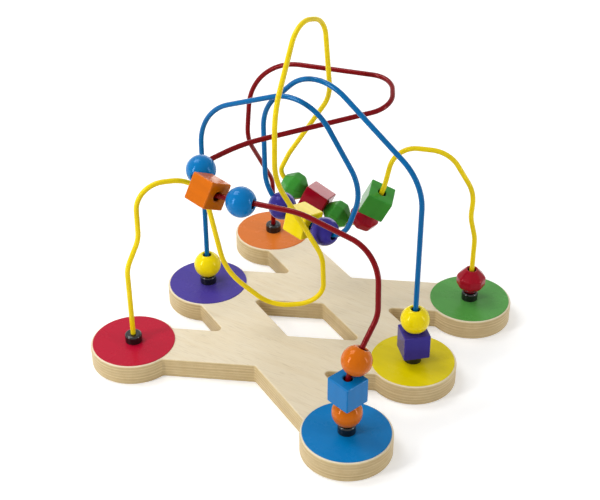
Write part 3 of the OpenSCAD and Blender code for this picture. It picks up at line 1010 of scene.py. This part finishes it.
class BEADMAZE_OT_faceted_beads(Operator):
    """Eight-sided beads with a belt and tapering ends, bored through"""
    bl_idname = "bead_maze.faceted_beads"
    bl_label = "Faceted beads"

    def execute(self, context):
        beads = context.scene.bead_maze.beads
        half_side = math.pi / FACETS
        corner = beads.facet_d / 2 / math.cos(half_side)
        belt, half = beads.facet_belt / 2, beads.facet_l / 2
        deselect()
        bpy.ops.mesh.primitive_cylinder_add(vertices=FACETS, radius=corner, depth=beads.facet_belt)
        pattern = added("faceted_bead")
        pattern.rotation_euler.z = half_side
        apply_place(pattern)
        edit(pattern)
        for side in (1, -1):
            pick(pattern, "FACE", end_face(side * belt))
            grow((0, 0, side * (half - belt)), beads.facet_end / beads.facet_d)
        at_end = ring(0, corner, half, both=True)
        pick(pattern, "EDGE", lambda e: not at_end(e))
        bevel(beads.facet_edge, 3)
        pick(pattern, "EDGE", at_end)
        bevel(beads.end_edge, 2)
        done()
        cut(pattern, bore_cutter(beads, beads.facet_l))
        soften_mouths(pattern, beads, half)
        smooth(pattern, 20)
        string(beads, pattern, {n: (p, 0) for n, p in FACETED_BEADS.items()})
        return {"FINISHED"}


def add_light(name, azimuth, elevation, distance, wide, tall, power):
    """A softbox that looks at the middle of the maze."""
    a, e = math.radians(azimuth), math.radians(elevation)
    back = Vector((math.sin(a) * math.cos(e), -math.cos(a) * math.cos(e), math.sin(e)))
    bpy.ops.object.light_add(type="AREA", location=LIT_POINT + back * distance)
    lamp = added(name)
    lamp.rotation_euler = (-back).to_track_quat("-Z", "Y").to_euler()
    lamp.data.shape = "RECTANGLE"
    lamp.data.size, lamp.data.size_y, lamp.data.energy = wide, tall, power


def white_where_seen(tree, lit, strength):
    """Strength that is white to the camera and in reflections, and a given light elsewhere."""
    path = put(tree, "ShaderNodeLightPath").outputs
    seen = math_node(tree, "MAXIMUM", path["Is Camera Ray"],
                     math_node(tree, "MAXIMUM", path["Is Glossy Ray"], path["Is Transmission Ray"]))
    return between(tree, seen, lit, strength)


class BEADMAZE_OT_stage(Operator):
    """Camera, pale floor and soft studio light"""
    bl_idname = "bead_maze.stage"
    bl_label = "Stage"

    def execute(self, context):
        look = context.scene.bead_maze.stage
        scene = context.scene
        scene.view_settings.view_transform = "Standard"
        deselect()
        back = Vector(look.eye) - Vector(look.aim)
        turn = (-back).to_track_quat("-Z", "Y").to_matrix().to_4x4()
        bpy.ops.object.camera_add(location=look.eye)
        camera = added("studio_camera")
        camera.matrix_world = (Matrix.Translation(look.eye) @ turn
                               @ Matrix.Rotation(look.roll, 4, "Z"))
        camera.data.sensor_fit = "HORIZONTAL"
        camera.data.sensor_width, camera.data.lens = look.sensor, look.lens
        camera.data.clip_start, camera.data.clip_end = 0.01, 50
        scene.camera = camera

        deselect()
        bpy.ops.mesh.primitive_plane_add(size=look.floor_w)
        floor = added("floor")
        material, tree, shader = new_material("floor_pale")
        place = object_place(tree)
        speckle = spread(tree, noise(tree, place, 3.0, detail=3.0), 0.3, 0.7)
        # The floor runs out into the white of the backdrop
        away = vector_node(tree, "LENGTH", place)["Value"]
        glow = spread(tree, away, look.glow_from, look.glow_to, look.glow, 1.0, smooth_step=True)
        fill(tree, shader, {
            "Base Color": blend(tree, speckle, rgba(look.floor), rgba(look.floor, 0.99)),
            "Roughness": 0.9,
            "Specular IOR Level": 0.0,
            "Emission Color": (1, 1, 1, 1),
            "Emission Strength": white_where_seen(tree, 0.0, glow),
        })
        floor.data.materials.append(material)

        world = bpy.data.worlds.new("studio")
        scene.world = world
        world.use_nodes = True
        tree = world.node_tree
        tree.nodes.clear()
        sky = put(tree, "ShaderNodeBackground", {
            "Color": (1, 1, 1, 1),
            "Strength": white_where_seen(tree, look.sky, 1.0),
        })
        out = tree.nodes.new("ShaderNodeOutputWorld")
        tree.links.new(sky.outputs["Background"], out.inputs["Surface"])

        for name, setting in SOFTBOXES.items():
            add_light(name, *setting)
        return {"FINISHED"}


class BEADMAZE_PT_panel(Panel):
    """Lists the pieces of the bead maze"""
    bl_idname = "BEADMAZE_PT_panel"
    bl_label = "Bead maze"
    bl_space_type = "VIEW_3D"
    bl_region_type = "UI"
    bl_category = "Bead maze"

    def draw(self, context):
        look = context.scene.bead_maze
        for group, operators in STEPS.items():
            box = self.layout.box()
            for operator in operators:
                box.operator(operator.bl_idname)
            part = getattr(look, group)
            for name in part.__annotations__:
                box.prop(part, name)


STEPS = {
    "board": (BEADMAZE_OT_board,),
    "discs": (BEADMAZE_OT_discs,),
    "collars": (BEADMAZE_OT_collars,),
    "screws": (BEADMAZE_OT_screws,),
    "wires": (BEADMAZE_OT_wires,),
    "beads": (BEADMAZE_OT_round_beads, BEADMAZE_OT_cubes, BEADMAZE_OT_faceted_beads),
    "stage": (BEADMAZE_OT_stage,),
}
CLASSES = (BoardLook, DiscLook, CollarLook, ScrewLook, WireLook, BeadLook, StageLook, BeadMazeLook,
           *(operator for group in STEPS.values() for operator in group), BEADMAZE_PT_panel)


def register():
    for cls in CLASSES:
        bpy.utils.register_class(cls)
    bpy.types.Scene.bead_maze = PointerProperty(type=BeadMazeLook, name="Bead maze",
                                                description="Looks of the bead maze")


def unregister():
    del bpy.types.Scene.bead_maze
    for cls in reversed(CLASSES):
        bpy.utils.unregister_class(cls)


def main():
    register()
    bpy.ops.bead_maze.board()
    bpy.ops.bead_maze.discs()
    bpy.ops.bead_maze.collars()
    bpy.ops.bead_maze.screws()
    bpy.ops.bead_maze.wires()
    bpy.ops.bead_maze.round_beads()
    bpy.ops.bead_maze.cubes()
    bpy.ops.bead_maze.faceted_beads()
    bpy.ops.bead_maze.stage()


if __name__ == "__main__":
    main()
